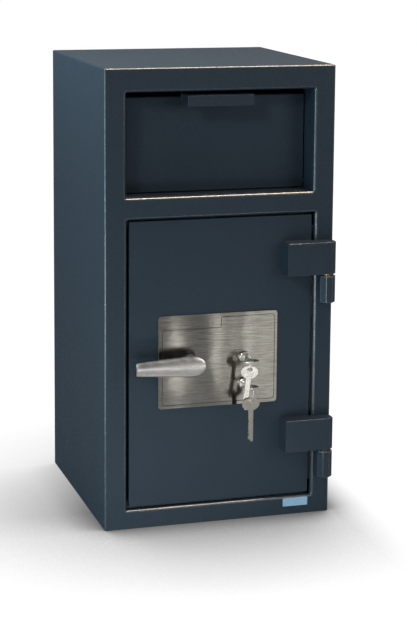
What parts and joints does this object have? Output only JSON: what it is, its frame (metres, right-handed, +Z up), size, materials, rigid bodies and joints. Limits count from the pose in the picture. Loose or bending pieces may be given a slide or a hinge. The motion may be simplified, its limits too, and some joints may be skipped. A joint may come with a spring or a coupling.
{
  "type": "drop safe with tilting deposit hopper",
  "caption": "Upright steel drop safe: a tilt-out deposit hopper above a lever-handled door with key locks, sliding bolts and outside block hinges.",
  "frame": {"origin": "middle of the underside, on the floor", "axes": "+Z up, the door and hopper face -Y, +X to the right as seen from the front"},
  "size_m": [0.508, 0.5638, 0.99],
  "materials": {
    "paint": "fine textured blue-grey powder coat",
    "inner_paint": "matt blue-grey powder coat",
    "stainless": "horizontally brushed stainless",
    "nickel": "satin nickel plate",
    "zinc_plate": "bright zinc plate",
    "bare_steel": "oiled cold-drawn steel",
    "brass": "turned brass",
    "chrome": "bright chrome plate",
    "label": "pale blue film, bare"
  },
  "bodies": {
    "cabinet": {"body_wrap": "paint", "front_frame": "paint", "back_panel": "paint", "hopper_surround": "paint", "anti_fish_baffle": "inner_paint", "latch_jamb": "inner_paint", "hinge_jamb": "inner_paint", "header_stop": "inner_paint", "sill_stop": "inner_paint", "serial_label": "label", "hinge_knuckle_upper": "paint", "hinge_knuckle_lower": "paint", "hinge_pin_upper": "bare_steel", "hinge_pin_lower": "bare_steel", "hinge_washer_upper": "brass", "hinge_washer_lower": "brass", "hopper_pivot_left": "zinc_plate", "hopper_pivot_right": "zinc_plate", "hopper_stop_left": "zinc_plate", "hopper_stop_right": "zinc_plate"},
    "hopper": {"hopper_panel": "paint", "hopper_pull_tab": "paint", "hopper_tray": "paint", "hopper_cheek_left": "paint", "hopper_cheek_right": "paint"},
    "door": {"door_plate": "paint", "hinge_block_upper": "paint", "hinge_block_lower": "paint", "face_plate": "stainless", "dead_bar": "bare_steel", "bolt_guide": "zinc_plate", "boltwork_cover": "inner_paint", "bar_stud_upper": "zinc_plate", "bar_stud_lower": "zinc_plate", "lock_cylinder_upper": "nickel", "lock_cylinder_lower": "nickel", "lock_case_upper": "zinc_plate", "lock_case_lower": "zinc_plate"},
    "handle": {"handle_lever": "nickel", "handle_spindle": "zinc_plate", "handle_crank": "zinc_plate"},
    "boltwork": {"bolt_bar": "zinc_plate", "bolt_upper": "chrome", "bolt_middle": "chrome", "bolt_lower": "chrome"},
    "upper_plug": {"lock_plug_upper": "nickel", "lock_cam_upper": "zinc_plate", "key_upper": "nickel", "key_ring_upper": "chrome"},
    "upper_lock_bolt": {"lock_bolt_upper": "brass"},
    "upper_spare": {"spare_key_upper": "nickel"},
    "lower_plug": {"lock_plug_lower": "nickel", "lock_cam_lower": "zinc_plate", "key_lower": "nickel"},
    "lower_lock_bolt": {"lock_bolt_lower": "brass"},
    "lower_ring": {"key_ring_lower": "chrome"},
    "lower_spare": {"spare_key_lower": "nickel"}
  },
  "joints": [
    {"name": "hopper_tilt", "type": "hinge", "parent": "cabinet", "child": "hopper", "pos_m": [0, -0.178, 0.732], "axis": [1, 0, 0], "range_deg": [0, 55]},
    {"name": "door_swing", "type": "hinge", "parent": "cabinet", "child": "door", "pos_m": [0.2345, -0.2693, 0.3], "axis": [0, 0, 1], "range_deg": [0, 180]},
    {"name": "handle_turn", "type": "hinge", "parent": "door", "child": "handle", "pos_m": [-0.066, -0.25, 0.36], "axis": [0, 1, 0], "range_deg": [0, 60]},
    {"name": "bolt_slide", "type": "slide", "parent": "door", "child": "boltwork", "axis": [-1, 0, 0], "range_m": [0, 0.028]},
    {"name": "upper_key_turn", "type": "hinge", "parent": "door", "child": "upper_plug", "pos_m": [0.057, -0.25, 0.3615], "axis": [0, 1, 0], "range_deg": [0, 90]},
    {"name": "upper_lock_slide", "type": "slide", "parent": "door", "child": "upper_lock_bolt", "axis": [0, 0, 1], "range_m": [0, 0.0134]},
    {"name": "upper_spare_swing", "type": "hinge", "parent": "upper_plug", "child": "upper_spare", "pos_m": [0.054, -0.2991, 0.3501], "axis": [0, 1, 0], "range_deg": [0, 30]},
    {"name": "lower_key_turn", "type": "hinge", "parent": "door", "child": "lower_plug", "pos_m": [0.057, -0.25, 0.304], "axis": [0, -1, 0], "range_deg": [0, 90]},
    {"name": "lower_lock_slide", "type": "slide", "parent": "door", "child": "lower_lock_bolt", "axis": [0, 0, -1], "range_m": [0, 0.0134]},
    {"name": "lower_ring_swing", "type": "hinge", "parent": "lower_plug", "child": "lower_ring", "pos_m": [0.0575, -0.29505, 0.304], "axis": [0, 1, 0], "range_deg": [-15, 8]},
    {"name": "lower_spare_swing", "type": "hinge", "parent": "lower_ring", "child": "lower_spare", "pos_m": [0.0536, -0.3034, 0.2803], "axis": [0, 1, 0], "range_deg": [-25, 25]}
  ],
  "couplings": [
    {"joint": "bolt_slide", "follows": "handle_turn", "m_per_rad": 0.02673},
    {"joint": "upper_lock_slide", "follows": "upper_key_turn", "m_per_rad": 0.00853},
    {"joint": "lower_lock_slide", "follows": "lower_key_turn", "m_per_rad": 0.00853}
  ]
}
